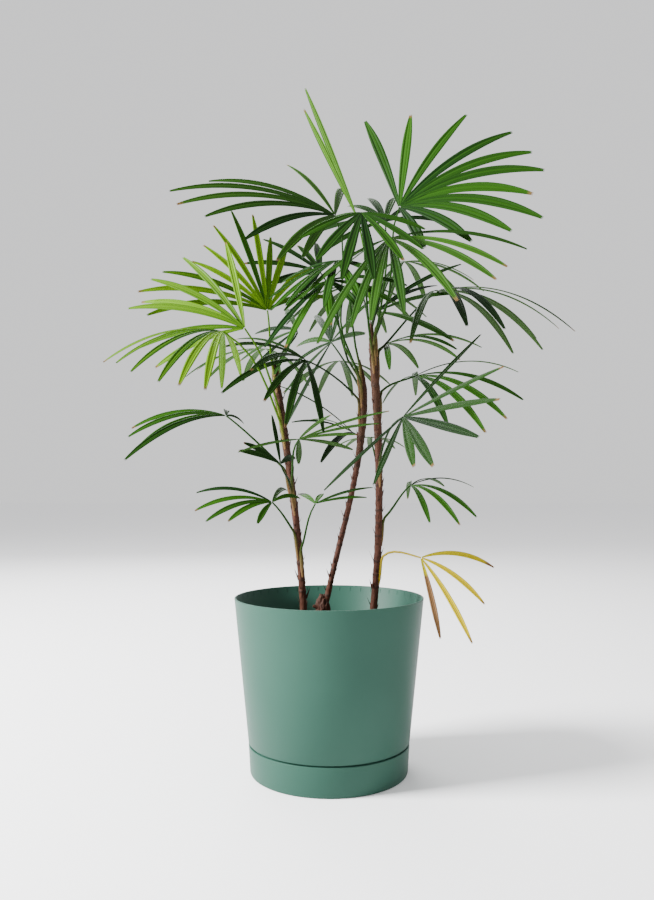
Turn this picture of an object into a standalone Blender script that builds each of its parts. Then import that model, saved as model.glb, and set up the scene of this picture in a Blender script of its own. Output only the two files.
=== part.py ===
"""A slender lady palm in its pot: three canes, a crown of fan-shaped fronds, a tapered pot and its saucer.

Metres, +Z up. The origin is the centre of the saucer's flat underside, the front of the plant faces -Y
and +X is to the right. Every frond is a solid of its own: a thin petiole that stands up to 3 mm clear of
its cane, a small hub at the petiole's tip, and blade leaflets that spread from the hub like a hand.
"""

import math
from collections import namedtuple

import bmesh
import bpy
from mathutils import Vector
from mathutils.bvhtree import BVHTree

# Pot, saucer, potting mix and canes keep this much air, or twice it, to each other.
GAP = 0.0003
UP = Vector((0, 0, 1))

# Pot and saucer, turned about the Z axis.
TURNED_SEGMENTS = 40
POT_HEIGHT = 0.271
RIM_RADIUS = 0.150
POT_WALL = 0.003
SHOULDER_RADIUS = 0.1268
SHOULDER_HEIGHT = 0.0485
FOOT_RADIUS = 0.1195
SAUCER_HEIGHT = 0.0450
SAUCER_FOOT_RADIUS = 0.124
SAUCER_LIP_RADIUS = 0.1266
SAUCER_WALL = 0.0026
SAUCER_FLOOR = 0.0033
FILLET = 0.003
RIM_EDGE = 0.001
SAUCER_EDGE = 0.0008
# Below its shoulder the pot steps in to a neck that stands inside the saucer's lip.
NECK_RADIUS = SAUCER_LIP_RADIUS - SAUCER_WALL - 0.0015
POT_FLOOR = SAUCER_FLOOR + GAP
# The potting mix ends well below the rim, out of sight from the front.
SOIL_TOP = 0.220
SOIL_EDGE = 0.004

# A cane: its line runs smoothly through the four points, and the radii belong to foot, shaft and top.
Cane = namedtuple("Cane", "foot lower upper top foot_radius shaft_radius sheath_radius")
CANE_SIDES = 8
CANE_RINGS = 11
FLARE_LENGTH = 0.030
TIP_LENGTH = 0.030
TIP_RADIUS_SHARE = 0.35
# The green sheaths start at this share of the cane's height and reach full thickness over the second.
SHEATH_START = 0.55
SHEATH_GROWTH = 0.25
CANE_FOOT = SOIL_TOP + GAP
CANES = {
    "stem_left": Cane((-0.039, -0.010, CANE_FOOT), (-0.046, -0.010, 0.329), (-0.070, -0.010, 0.521),
                      (-0.092, -0.010, 0.655), 0.0080, 0.0058, 0.0068),
    "stem_middle": Cane((-0.012, 0.030, CANE_FOOT), (0.012, 0.030, 0.330), (0.052, 0.030, 0.520),
                        (0.051, 0.025, 0.655), 0.0075, 0.0050, 0.0070),
    "stem_right": Cane((0.067, 0.000, CANE_FOOT), (0.077, 0.000, 0.330), (0.079, 0.000, 0.520),
                       (0.067, 0.000, 0.715), 0.0085, 0.0060, 0.0072),
}
# The gnarled knot at the middle cane's foot: centre, half sizes, and the stub that points left from it.
KNOT_CENTRE = (-0.010, 0.030, 0.246)
KNOT_HALF_SIZE = (0.012, 0.010, 0.024)
STUB_FROM = (-0.010, 0.030, 0.246)
STUB_TO = (-0.026, 0.028, 0.252)
STUB_RADIUS = 0.0040
STUB_TIP_SHARE = 0.6
STUB_SIDES = 6

# A frond's petiole arcs from its cane to the hub.
PETIOLE_SIDES = 3
PETIOLE_RINGS = 7
PETIOLE_BASE_RADIUS = 0.0022
PETIOLE_TIP_RADIUS = 0.0014
PETIOLE_CLEARANCE = 0.0010
# How far the petiole keeps to its first and its last direction, as shares of its reach.
PETIOLE_LEAVING = 0.35
PETIOLE_ARRIVING = 0.30
HUB_RADIUS = 0.0060
HUB_HALF_THICKNESS = 0.0020
HUB_SIDES = 6

# A leaflet's line is walked in equal steps, and its blade is built on some of them: (step, share of width).
LINE_STEPS = 8
BLADE_STATIONS = ((0, 0.22), (2, 0.78), (5, 1.00), (7, 0.74), (8, 0.24))
LEAFLET_START = 0.002
LEAFLET_THICKNESS_SHARE = 0.011
LEAFLET_LEAST_THICKNESS = 0.0016
# A leaflet that would touch another frond is swayed out of its blade by one of these angles, or left out.
SWAYS = (0, 7, -7, 14, -14, 21, -21)
LEAFLET_CLEARANCE = 0.0006

# aim is the middle leaflet's compass heading (0 along +X, 90 to the back) and rise above the horizon, and
# the blade's roll about it, in degrees. droop bends leaflets to the ground, and each leaflet is its
# angle from the middle, positive to the right seen from above, in degrees, and its length in centimetres.
Frond = namedtuple("Frond", "cane leaves_at hub aim droop width tone leaflets")
FRONDS = {
    "spear_leaf": Frond(
        "stem_right", None, (0.045, -0.005, 0.883), (176, 68, -80), 0.10, 0.010, "fresh",
        ((-1, 23), (3, 20))),
    "frond_top_right": Frond(
        "stem_right", 0.700, (0.112, -0.030, 0.890), (-5, 50, -65), 0.80, 0.018, "deep",
        ((-57, 21), (-37, 18), (-13, 19), (4, 21), (14, 22), (22, 23), (31, 21), (42, 23), (51, 19),
         (67, 14), (105, 9))),
    "frond_high_front": Frond(
        "stem_right", 0.685, (0.092, -0.070, 0.827), (-100, -35, -10), 0.70, 0.016, "soft",
        ((-96, 21), (-72, 20), (-58, 21), (-34, 22), (-11, 22), (3, 22), (11, 23), (22, 26), (50, 18),
         (119, 17))),
    "frond_top_left": Frond(
        "stem_middle", 0.640, (0.010, 0.050, 0.904), (175, 40, 40), 0.75, 0.016, "soft",
        ((-93, 14), (-81, 18), (-57, 19), (-37, 23), (-30, 27), (-23, 28), (-12, 22), (32, 18),
         (63, 17))),
    "frond_top_back": Frond(
        "stem_right", 0.705, (0.099, 0.100, 0.910), (105, 45, 15), 0.60, 0.016, "dark",
        ((-95, 12), (-60, 14), (-32, 12), (-14, 13), (2, 14), (20, 13), (45, 14), (80, 12))),
    "frond_high_left": Frond(
        "stem_middle", 0.630, (-0.015, 0.080, 0.815), (180, 25, 45), 0.45, 0.016, "dark",
        ((-80, 8), (-45, 11), (-12, 13), (25, 13), (47, 9), (68, 11))),
    "frond_left_upright": Frond(
        "stem_left", 0.640, (-0.096, -0.050, 0.720), (130, 65, 10), 0.70, 0.012, "light",
        ((-72, 19), (-60, 20), (-47, 17), (-34, 14), (-22, 15), (-11, 18), (0, 21), (9, 21), (17, 17),
         (26, 16), (40, 16), (58, 15))),
    "frond_left_front": Frond(
        "stem_left", 0.575, (-0.121, -0.150, 0.672), (155, 40, 60), 0.65, 0.012, "light",
        ((-52, 14), (-34, 16), (-17, 18), (-9, 18), (-2, 17), (15, 18), (33, 17))),
    "frond_left_hanging": Frond(
        "stem_left", 0.550, (-0.147, -0.190, 0.660), (190, 10, 15), 0.95, 0.012, "light",
        ((-82, 18), (-70, 18), (-60, 18), (-41, 17), (-21, 16), (-10, 17), (92, 16), (104, 14))),
    "frond_middle_back": Frond(
        "stem_middle", 0.610, (0.004, 0.130, 0.702), (110, 25, 55), 0.45, 0.014, "dark",
        ((-112, 18), (-70, 13), (-35, 15), (-8, 16), (13, 19), (24, 17), (38, 12), (85, 12), (132, 8))),
    "frond_middle_left": Frond(
        "stem_middle", 0.590, (-0.036, -0.020, 0.646), (-135, -5, 35), 0.85, 0.013, "dark",
        ((-61, 17), (-38, 18), (-17, 14), (-4, 16), (8, 17), (36, 14), (71, 13))),
    "frond_far_left": Frond(
        "stem_left", 0.475, (-0.163, -0.020, 0.558), (165, 30, 20), 0.90, 0.012, "deep",
        ((-60, 19), (-52, 15), (-41, 16), (-32, 15), (58, 6), (105, 4))),
    "frond_low_left_upright": Frond(
        "stem_left", 0.445, (-0.073, -0.090, 0.480), (135, 65, -10), 0.40, 0.011, "dark",
        ((-70, 8), (-58, 7), (13, 9), (60, 7))),
    "frond_low_front": Frond(
        "stem_left", 0.456, (-0.045, -0.100, 0.516), (-35, 25, 5), 0.25, 0.011, "deep",
        ((-131, 8), (-78, 11), (-50, 9), (-34, 12), (-18, 14), (20, 9), (113, 10))),
    "frond_low_back": Frond(
        "stem_middle", 0.520, (0.042, 0.100, 0.539), (-140, 15, 30), 0.70, 0.012, "dark",
        ((-67, 14), (-33, 16), (26, 11), (39, 16), (73, 10))),
    "frond_right_front": Frond(
        "stem_right", 0.490, (0.104, -0.160, 0.544), (-70, -10, -45), 0.10, 0.015, "dark",
        ((-99, 18), (-48, 16), (-22, 18), (-2, 20), (17, 18), (25, 15), (51, 14), (99, 15))),
    "frond_right_middle": Frond(
        "stem_right", 0.600, (0.140, 0.020, 0.626), (-10, 20, -20), 0.85, 0.013, "deep",
        ((-115, 13), (-86, 20), (-31, 21), (30, 20), (49, 22), (62, 23), (74, 18))),
    "frond_far_right": Frond(
        "stem_right", 0.665, (0.182, 0.030, 0.769), (-10, 10, -5), 1.15, 0.015, "dark",
        ((-53, 24), (-38, 25), (-31, 21), (1, 21), (15, 24), (59, 22), (74, 19), (102, 22))),
    "frond_right_upright": Frond(
        "stem_right", 0.675, (0.079, 0.050, 0.739), (5, 25, -40), 0.50, 0.014, "dark",
        ((-58, 18), (-32, 17), (-16, 18), (20, 14), (59, 17))),
    "frond_right_small": Frond(
        "stem_right", 0.655, (0.094, 0.060, 0.685), (-30, 20, -15), 0.90, 0.012, "deep",
        ((-85, 15), (-63, 19), (-40, 18), (-12, 15), (18, 16), (64, 14))),
    "frond_low_right": Frond(
        "stem_right", 0.396, (0.131, 0.000, 0.448), (-5, 20, -15), 0.95, 0.010, "deep",
        ((-86, 14), (-50, 10), (-17, 11), (44, 14), (59, 14), (78, 11))),
    "frond_low_left": Frond(
        "stem_left", 0.375, (-0.087, -0.060, 0.422), (165, 35, 25), 0.90, 0.010, "deep",
        ((-91, 5), (-55, 8), (-45, 11), (-31, 12), (-11, 12), (70, 10), (95, 6))),
    "frond_low_middle": Frond(
        "stem_left", 0.348, (-0.021, -0.070, 0.420), (55, 25, -5), 0.35, 0.011, "deep",
        ((-51, 8), (-20, 5), (20, 11), (40, 8))),
    "frond_yellow": Frond(
        "stem_right", 0.335, (0.143, -0.030, 0.335), (-15, -25, -50), 0.90, 0.010, "yellow",
        ((-51, 13), (-10, 12), (27, 15), (50, 13))),
    "frond_left_small": Frond(
        "stem_left", 0.650, (-0.053, 0.020, 0.703), (155, -15, 50), 0.40, 0.012, "dark",
        ((-71, 10), (-30, 12), (5, 12), (40, 12), (71, 11))),
    "frond_middle_front": Frond(
        "stem_middle", 0.620, (-0.003, -0.100, 0.754), (-60, -25, -30), 0.60, 0.014, "deep",
        ((-106, 14), (-60, 12), (-30, 12), (-4, 10), (25, 12), (53, 16), (68, 16), (94, 8))),
    "frond_centre_high": Frond(
        "stem_right", 0.672, (0.050, -0.075, 0.866), (-95, -45, 10), 0.35, 0.017, "deep",
        ((-80, 10), (-48, 13), (-26, 15), (-8, 17), (8, 18), (26, 15), (52, 12))),
    "frond_centre_left": Frond(
        "stem_middle", 0.648, (0.012, -0.070, 0.793), (-125, -35, 5), 0.50, 0.015, "deep",
        ((-72, 11), (-45, 13), (-20, 14), (3, 15), (24, 14), (48, 12), (80, 10))),
    "frond_back_high": Frond(
        "stem_right", 0.690, (0.055, 0.190, 0.820), (95, 5, 0), 0.80, 0.015, "dark",
        ((-75, 15), (-50, 18), (-25, 20), (0, 21), (25, 20), (50, 18), (75, 15))),
    "frond_back_left": Frond(
        "stem_left", 0.600, (-0.110, 0.130, 0.690), (115, 10, 0), 0.80, 0.014, "deep",
        ((-75, 13), (-45, 17), (-20, 18), (5, 18), (30, 17), (60, 14))),
    "frond_back_right": Frond(
        "stem_right", 0.685, (0.135, 0.140, 0.850), (60, 10, 0), 0.80, 0.014, "deep",
        ((-60, 14), (-35, 17), (-10, 18), (15, 18), (40, 17), (70, 13))),
    "frond_back_middle": Frond(
        "stem_middle", 0.600, (0.020, 0.170, 0.675), (95, 5, 0), 0.80, 0.013, "dark",
        ((-60, 13), (-35, 15), (-10, 17), (15, 17), (40, 15), (65, 12))),
    "frond_back_low": Frond(
        "stem_right", 0.470, (0.072, 0.100, 0.530), (88, 10, 0), 0.60, 0.011, "deep",
        ((-50, 8), (-25, 11), (0, 12), (25, 11), (50, 8))),
}

# Principled colours, linear red, green and blue.
LEAF_COLOURS = {
    "deep": (0.060, 0.160, 0.050),
    "dark": (0.035, 0.100, 0.042),
    "soft": (0.120, 0.235, 0.090),
    "light": (0.160, 0.330, 0.070),
    "fresh": (0.170, 0.360, 0.090),
    "yellow": (0.480, 0.430, 0.055),
}
LEAF_ROUGHNESS = 0.45
POT_COLOUR = (0.140, 0.270, 0.220)
POT_ROUGHNESS = 0.50
SOIL_COLOUR = (0.035, 0.024, 0.016)
CANE_COLOUR = (0.120, 0.060, 0.038)
ROUGH_MATTER = 0.90


def clear_scene():
    for thing in list(bpy.data.objects):
        bpy.data.objects.remove(thing, do_unlink=True)


def plain_material(name, colour, roughness):
    material = bpy.data.materials.new(name)
    material.use_nodes = True
    shader = material.node_tree.nodes["Principled BSDF"]
    shader.inputs["Base Color"].default_value = (*colour, 1)
    shader.inputs["Roughness"].default_value = roughness
    shader.inputs["Metallic"].default_value = 0
    return material


def object_from(name, bm, material=None):
    """Turns a finished bmesh into a linked object, faces outward and round stretches smooth."""
    bmesh.ops.recalc_face_normals(bm, faces=bm.faces)
    mesh = bpy.data.meshes.new(name)
    bm.to_mesh(mesh)
    bm.free()
    mesh.shade_smooth()
    mesh.set_sharp_from_angle(angle=math.radians(35))
    if material:
        mesh.materials.append(material)
    piece = bpy.data.objects.new(name, mesh)
    bpy.context.collection.objects.link(piece)
    return piece


def bmesh_of(shape):
    """A bmesh of a plain (points, faces) shape."""
    points, faces = shape
    bm = bmesh.new()
    corners = [bm.verts.new(point) for point in points]
    for face in faces:
        bm.faces.new([corners[i] for i in face])
    return bm


def turned_piece(name, profile, material):
    """Spins a profile of (radius, height), which starts and ends on the axis, into a solid."""
    bm = bmesh.new()
    corners = [bm.verts.new((radius, 0, height)) for radius, height in profile]
    edges = [bm.edges.new(pair) for pair in zip(corners, corners[1:])]
    bmesh.ops.spin(bm, geom=corners + edges, axis=UP, cent=(0, 0, 0), angle=2 * math.pi,
                   steps=TURNED_SEGMENTS)
    bmesh.ops.remove_doubles(bm, verts=bm.verts, dist=1e-6)
    return object_from(name, bm, material)


def wall_radius(height):
    """The pot's outer radius above its shoulder."""
    share = (height - SHOULDER_HEIGHT) / (POT_HEIGHT - SHOULDER_HEIGHT)
    return SHOULDER_RADIUS + share * (RIM_RADIUS - SHOULDER_RADIUS)


def inner_wall_radius(height):
    """The pot's inner radius above its neck."""
    foot = SHOULDER_HEIGHT + FILLET
    share = (height - foot) / (POT_HEIGHT - RIM_EDGE - foot)
    return NECK_RADIUS - POT_WALL + share * (RIM_RADIUS - NECK_RADIUS)


def pot_and_saucer():
    plastic = plain_material("pot_plastic", POT_COLOUR, POT_ROUGHNESS)
    inside_foot = FOOT_RADIUS - POT_WALL
    turned_piece("pot", (
        (0, POT_FLOOR),
        (FOOT_RADIUS - FILLET, POT_FLOOR),
        (FOOT_RADIUS, POT_FLOOR + FILLET),
        (NECK_RADIUS, SAUCER_HEIGHT),
        (NECK_RADIUS, SHOULDER_HEIGHT - RIM_EDGE),
        (SHOULDER_RADIUS - RIM_EDGE, SHOULDER_HEIGHT - RIM_EDGE),
        (SHOULDER_RADIUS, SHOULDER_HEIGHT),
        (wall_radius(POT_HEIGHT - RIM_EDGE), POT_HEIGHT - RIM_EDGE),
        (RIM_RADIUS - RIM_EDGE, POT_HEIGHT),
        (RIM_RADIUS - POT_WALL + RIM_EDGE, POT_HEIGHT),
        (RIM_RADIUS - POT_WALL, POT_HEIGHT - RIM_EDGE),
        (NECK_RADIUS - POT_WALL, SHOULDER_HEIGHT + FILLET),
        (inside_foot, POT_FLOOR + POT_WALL + FILLET),
        (inside_foot - FILLET, POT_FLOOR + POT_WALL),
        (0, POT_FLOOR + POT_WALL),
    ), plastic)
    inside_saucer = SAUCER_FOOT_RADIUS - SAUCER_WALL
    turned_piece("saucer", (
        (0, 0),
        (SAUCER_FOOT_RADIUS - FILLET, 0),
        (SAUCER_FOOT_RADIUS, FILLET),
        (SAUCER_LIP_RADIUS, SAUCER_HEIGHT - SAUCER_EDGE),
        (SAUCER_LIP_RADIUS - SAUCER_EDGE, SAUCER_HEIGHT),
        (SAUCER_LIP_RADIUS - SAUCER_WALL, SAUCER_HEIGHT),
        (inside_saucer, SAUCER_FLOOR + FILLET),
        (inside_saucer - FILLET, SAUCER_FLOOR),
        (0, SAUCER_FLOOR),
    ), plastic)


def potting_mix():
    """A plug that fills the pot up to SOIL_TOP, clear of the wall all round."""
    floor = POT_FLOOR + POT_WALL + GAP
    clear = 2 * GAP
    neck = SHOULDER_HEIGHT + FILLET
    edge = SOIL_TOP - SOIL_EDGE
    turned_piece("potting_mix", (
        (0, floor),
        (FOOT_RADIUS - POT_WALL - FILLET - clear, floor),
        (FOOT_RADIUS - POT_WALL - clear, floor + FILLET),
        (inner_wall_radius(neck) - clear, neck),
        (inner_wall_radius(edge) - clear, edge),
        (inner_wall_radius(edge) - clear - SOIL_EDGE, SOIL_TOP),
        (0, SOIL_TOP),
    ), plain_material("potting_mix", SOIL_COLOUR, ROUGH_MATTER))


def cane_line(cane, height):
    """The cane's centre at this height, on the cubic through its four points."""
    marks = [Vector(point) for point in cane[:4]]
    centre = Vector()
    for mark in marks:
        weight = 1
        for other in marks:
            if other is not mark:
                weight *= (height - other.z) / (mark.z - other.z)
        centre += weight * mark
    return centre


def cane_radius(cane, height):
    """Root flare at the foot, a slow taper, a thicker sheathed top and a pointed tip."""
    above_foot = height - cane.foot[2]
    below_top = cane.top[2] - height
    flare = max(0, 1 - above_foot / FLARE_LENGTH) ** 2
    radius = cane.shaft_radius + flare * (cane.foot_radius - cane.shaft_radius)
    share_up = above_foot / (cane.top[2] - cane.foot[2])
    sheathed = min(1, max(0, (share_up - SHEATH_START) / SHEATH_GROWTH))
    radius += sheathed * (cane.sheath_radius - cane.shaft_radius)
    return radius * (TIP_RADIUS_SHARE + (1 - TIP_RADIUS_SHARE) * min(1, below_top / TIP_LENGTH))


def tube(points, radii, sides):
    """A closed shape of rings of corners along a line that keeps roughly to one upright plane."""
    chord = points[-1] - points[0]
    side = Vector((-chord.y, chord.x, 0))
    side = side.normalized() if side.length > 0.1 * abs(chord.z) else Vector((0, 1, 0))
    corners = []
    for i, (point, radius) in enumerate(zip(points, radii)):
        before = points[max(0, i - 1)]
        after = points[min(len(points) - 1, i + 1)]
        rise = side.cross(after - before).normalized()
        for turn in range(sides):
            angle = 2 * math.pi * turn / sides
            corners.append(point + radius * (math.cos(angle) * side + math.sin(angle) * rise))
    faces = [tuple(range(sides)), tuple(range(len(corners) - sides, len(corners)))]
    for start in range(0, len(corners) - sides, sides):
        for turn in range(sides):
            beside = (turn + 1) % sides
            faces.append((start + turn, start + beside, start + sides + beside, start + sides + turn))
    return corners, faces


def cane_shape(cane):
    """The cane with level rings, so that its foot is a flat cut on the potting mix."""
    foot = cane.foot[2] + FLARE_LENGTH
    neck = cane.top[2] - TIP_LENGTH
    shaft = [foot + (neck - foot) * i / (CANE_RINGS - 4) for i in range(CANE_RINGS - 3)]
    heights = [cane.foot[2], cane.foot[2] + FLARE_LENGTH / 3] + shaft + [cane.top[2]]
    corners = []
    for height in heights:
        centre = cane_line(cane, height)
        radius = cane_radius(cane, height)
        for turn in range(CANE_SIDES):
            angle = 2 * math.pi * turn / CANE_SIDES
            corners.append(centre + radius * Vector((math.cos(angle), math.sin(angle), 0)))
    faces = [tuple(range(CANE_SIDES)), tuple(range(len(corners) - CANE_SIDES, len(corners)))]
    for start in range(0, len(corners) - CANE_SIDES, CANE_SIDES):
        for turn in range(CANE_SIDES):
            beside = (turn + 1) % CANE_SIDES
            faces.append((start + turn, start + beside,
                          start + CANE_SIDES + beside, start + CANE_SIDES + turn))
    return corners, faces


def knot_shape():
    """The lump at the middle cane's foot, flat where it would go below the cane's own foot."""
    bm = bmesh.new()
    bmesh.ops.create_icosphere(bm, subdivisions=2, radius=1)
    for corner in bm.verts:
        for axis in range(3):
            corner.co[axis] = KNOT_CENTRE[axis] + corner.co[axis] * KNOT_HALF_SIZE[axis]
        corner.co.z = max(corner.co.z, CANE_FOOT)
    points = [corner.co.copy() for corner in bm.verts]
    bm.verts.index_update()
    faces = [tuple(corner.index for corner in face.verts) for face in bm.faces]
    bm.free()
    return points, faces


def joined(name, shapes, material):
    """One solid from overlapping shapes: a Boolean union of the first with a collection of the rest."""
    whole = object_from(name, bmesh_of(shapes[0]), material)
    if len(shapes) == 1:
        return whole
    others = bpy.data.collections.new(name + "_pieces")
    for shape in shapes[1:]:
        piece = object_from(name + "_piece", bmesh_of(shape), material)
        bpy.context.collection.objects.unlink(piece)
        others.objects.link(piece)
    bpy.context.scene.collection.children.link(others)
    union = whole.modifiers.new("union", "BOOLEAN")
    union.operation = "UNION"
    union.operand_type = "COLLECTION"
    union.collection = others
    union.solver = "EXACT"
    solid = bpy.data.meshes.new_from_object(whole.evaluated_get(bpy.context.evaluated_depsgraph_get()))
    whole.modifiers.clear()
    whole.data = solid
    for piece in list(others.objects):
        bpy.data.objects.remove(piece, do_unlink=True)
    bpy.data.collections.remove(others)
    return whole


def petiole_line(frond):
    """An arc that leaves its cane's side, or its very top, and meets the hub along the middle leaflet."""
    cane = CANES[frond.cane]
    hub = Vector(frond.hub)
    if frond.leaves_at is None:
        start = Vector(cane.top) + UP * 2 * GAP
        leaving = UP
    else:
        axis = cane_line(cane, frond.leaves_at)
        outward = hub - axis
        outward.z = 0
        outward.normalize()
        clear = cane_radius(cane, frond.leaves_at) + PETIOLE_BASE_RADIUS + PETIOLE_CLEARANCE
        start = axis + outward * clear
        leaving = (UP + outward).normalized()
    reach = hub - start
    arriving = (blade_axes(frond.aim)[0] + reach.normalized()).normalized()
    first = start + leaving * PETIOLE_LEAVING * reach.length
    second = hub - arriving * PETIOLE_ARRIVING * reach.length
    points = []
    for i in range(PETIOLE_RINGS):
        t = i / (PETIOLE_RINGS - 1)
        points.append((1 - t) ** 3 * start + 3 * t * (1 - t) ** 2 * first
                      + 3 * t * t * (1 - t) * second + t ** 3 * hub)
    return points


def petiole_shape(frond):
    points = petiole_line(frond)
    last = PETIOLE_RINGS - 1
    radii = [PETIOLE_BASE_RADIUS + (PETIOLE_TIP_RADIUS - PETIOLE_BASE_RADIUS) * i / last
             for i in range(PETIOLE_RINGS)]
    return tube(points, radii, PETIOLE_SIDES)


def blade_axes(aim):
    """The blade's directions along its middle leaflet, to its right and out of its upper side."""
    heading, rise, roll = (math.radians(angle) for angle in aim)
    along = Vector((math.cos(heading) * math.cos(rise), math.sin(heading) * math.cos(rise), math.sin(rise)))
    level = Vector((math.sin(heading), -math.cos(heading), 0))
    over = level.cross(along)
    right = math.cos(roll) * level + math.sin(roll) * over
    return along, right, right.cross(along)


def hub_shape(frond):
    """A lens in the blade's plane that the leaflets' roots sink into."""
    along, right, over = blade_axes(frond.aim)
    hub = Vector(frond.hub)
    corners = [hub + over * HUB_HALF_THICKNESS, hub - over * HUB_HALF_THICKNESS]
    for turn in range(HUB_SIDES):
        angle = 2 * math.pi * (turn + 0.5) / HUB_SIDES
        corners.append(hub + HUB_RADIUS * (math.cos(angle) * along + math.sin(angle) * right))
    faces = []
    for turn in range(HUB_SIDES):
        here = 2 + turn
        beside = 2 + (turn + 1) % HUB_SIDES
        faces.append((0, here, beside))
        faces.append((1, beside, here))
    return corners, faces


def leaflet_line(frond, angle, length, sway):
    """The leaflet's (point, direction) at each step: the more level it starts, the more it bends down."""
    along, right, over = blade_axes(frond.aim)
    turn = math.radians(angle)
    lift = math.radians(sway)
    flat = math.cos(turn) * along + math.sin(turn) * right
    straight = math.cos(lift) * flat + math.sin(lift) * over
    sag = frond.droop * math.hypot(straight.x, straight.y)
    point = Vector(frond.hub) + straight * LEAFLET_START
    line = [(point, straight)]
    for step in range(LINE_STEPS):
        direction = (straight - UP * sag * (step + 0.5) / LINE_STEPS).normalized()
        point = point + direction * length / LINE_STEPS
        line.append((point, direction))
    return line


def leaflet_shape(frond, angle, length, sway, grow=0):
    """The leaflet's blade, with a lens-shaped section, grown all round by grow."""
    over = blade_axes(frond.aim)[2]
    line = leaflet_line(frond, angle, length, sway)
    half_thickness = max(LEAFLET_LEAST_THICKNESS, LEAFLET_THICKNESS_SHARE * length) / 2 + grow
    corners = []
    for step, share in BLADE_STATIONS:
        point, direction = line[step]
        side = direction.cross(over).normalized()
        top = side.cross(direction).normalized()
        half_width = share * frond.width / 2 + grow
        corners += [point + side * half_width, point + top * half_thickness,
                    point - side * half_width, point - top * half_thickness]
    last = len(corners) - 4
    faces = [(0, 1, 2, 3), (last + 3, last + 2, last + 1, last)]
    for start in range(0, last, 4):
        for i in range(4):
            beside = (i + 1) % 4
            faces.append((start + beside, start + i, start + 4 + i, start + 4 + beside))
    return corners, faces


def clear_leaflets(frond_name, taken):
    """The frond's leaflets, each swayed clear of what other fronds and canes have taken."""
    frond = FRONDS[frond_name]
    shapes = []
    for angle, centimetres in frond.leaflets:
        length = centimetres / 100
        for sway in SWAYS:
            grown = BVHTree.FromPolygons(*leaflet_shape(frond, angle, length, sway, LEAFLET_CLEARANCE))
            if not any(owner != frond_name and tree.overlap(grown) for owner, tree in taken):
                shape = leaflet_shape(frond, angle, length, sway)
                shapes.append(shape)
                taken.append((frond_name, BVHTree.FromPolygons(*shape)))
                break
    return shapes


def canes_and_fronds():
    bark = plain_material("cane_bark", CANE_COLOUR, ROUGH_MATTER)
    leaves = {tone: plain_material("leaf_" + tone, colour, LEAF_ROUGHNESS)
              for tone, colour in LEAF_COLOURS.items()}
    taken = []
    for name, cane in CANES.items():
        shapes = [cane_shape(cane)]
        if name == "stem_middle":
            shapes.append(knot_shape())
            stub_radii = [STUB_RADIUS, STUB_RADIUS * STUB_TIP_SHARE]
            shapes.append(tube([Vector(STUB_FROM), Vector(STUB_TO)], stub_radii, STUB_SIDES))
        joined(name, shapes, bark)
        taken += [(name, BVHTree.FromPolygons(*shape)) for shape in shapes]
    for name, frond in FRONDS.items():
        taken += [(name, BVHTree.FromPolygons(*shape)) for shape in (petiole_shape(frond), hub_shape(frond))]
    for name, frond in FRONDS.items():
        leaflets = clear_leaflets(name, taken)
        joined(name, [petiole_shape(frond), hub_shape(frond)] + leaflets, leaves[frond.tone])


clear_scene()
pot_and_saucer()
potting_mix()
canes_and_fronds()
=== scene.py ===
import math
from collections import namedtuple

import bmesh
import bpy
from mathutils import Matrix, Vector, noise
from mathutils.bvhtree import BVHTree


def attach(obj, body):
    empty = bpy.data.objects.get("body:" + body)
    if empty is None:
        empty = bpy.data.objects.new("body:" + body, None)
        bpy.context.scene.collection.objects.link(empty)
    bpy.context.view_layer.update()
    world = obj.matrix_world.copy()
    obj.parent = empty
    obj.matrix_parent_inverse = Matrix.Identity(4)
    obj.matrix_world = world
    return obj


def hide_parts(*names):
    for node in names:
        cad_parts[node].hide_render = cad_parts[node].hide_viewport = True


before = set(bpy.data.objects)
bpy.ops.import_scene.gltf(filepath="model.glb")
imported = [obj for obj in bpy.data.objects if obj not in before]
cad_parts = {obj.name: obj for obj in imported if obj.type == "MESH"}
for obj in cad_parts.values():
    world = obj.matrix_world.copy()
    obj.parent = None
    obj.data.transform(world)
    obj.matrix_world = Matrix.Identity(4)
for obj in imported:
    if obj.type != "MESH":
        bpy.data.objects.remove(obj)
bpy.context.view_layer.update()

# Pot and saucer: injection-moulded matte green plastic. The pot tapers to a neck that stands loose in the
# saucer, so a dark groove shows between its shoulder and the saucer's lip. Its rim is thin and its inside
# is stiffened by short ribs just under the rim.

# The least air that the plain pot, saucer, potting mix and canes keep to each other.
GAP = 0.0003
UP = Vector((0, 0, 1))
POT_HEIGHT = 0.271
RIM_RADIUS = 0.150
POT_WALL = 0.003
SHOULDER_RADIUS = 0.1268
SHOULDER_HEIGHT = 0.0485
FOOT_RADIUS = 0.1195
SAUCER_HEIGHT = 0.0450
SAUCER_FOOT_RADIUS = 0.124
SAUCER_LIP_RADIUS = 0.1266
SAUCER_WALL = 0.0026
SAUCER_FLOOR = 0.0033
FILLET = 0.003
RIM_EDGE = 0.001
SAUCER_EDGE = 0.0008
SAUCER_FOOT_EDGE = 0.0009
# Below its shoulder the pot steps in to a neck that stands inside the saucer's lip.
NECK_CLEAR = 0.0015
NECK_RADIUS = SAUCER_LIP_RADIUS - SAUCER_WALL - NECK_CLEAR
POT_FLOOR = SAUCER_FLOOR + GAP
POT_INSIDE_FLOOR = POT_FLOOR + POT_WALL
# The outer wall is straight, with rings at these heights, and its thin lip is barely rounded.
WALL_MIDDLE = 0.160
WALL_TOP = POT_HEIGHT - 0.004
LIP_EDGE = 0.0006
TURNED_STEPS = 144
MERGE_DISTANCE = 0.000002
SMOOTH_BELOW = math.radians(40)
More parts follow.
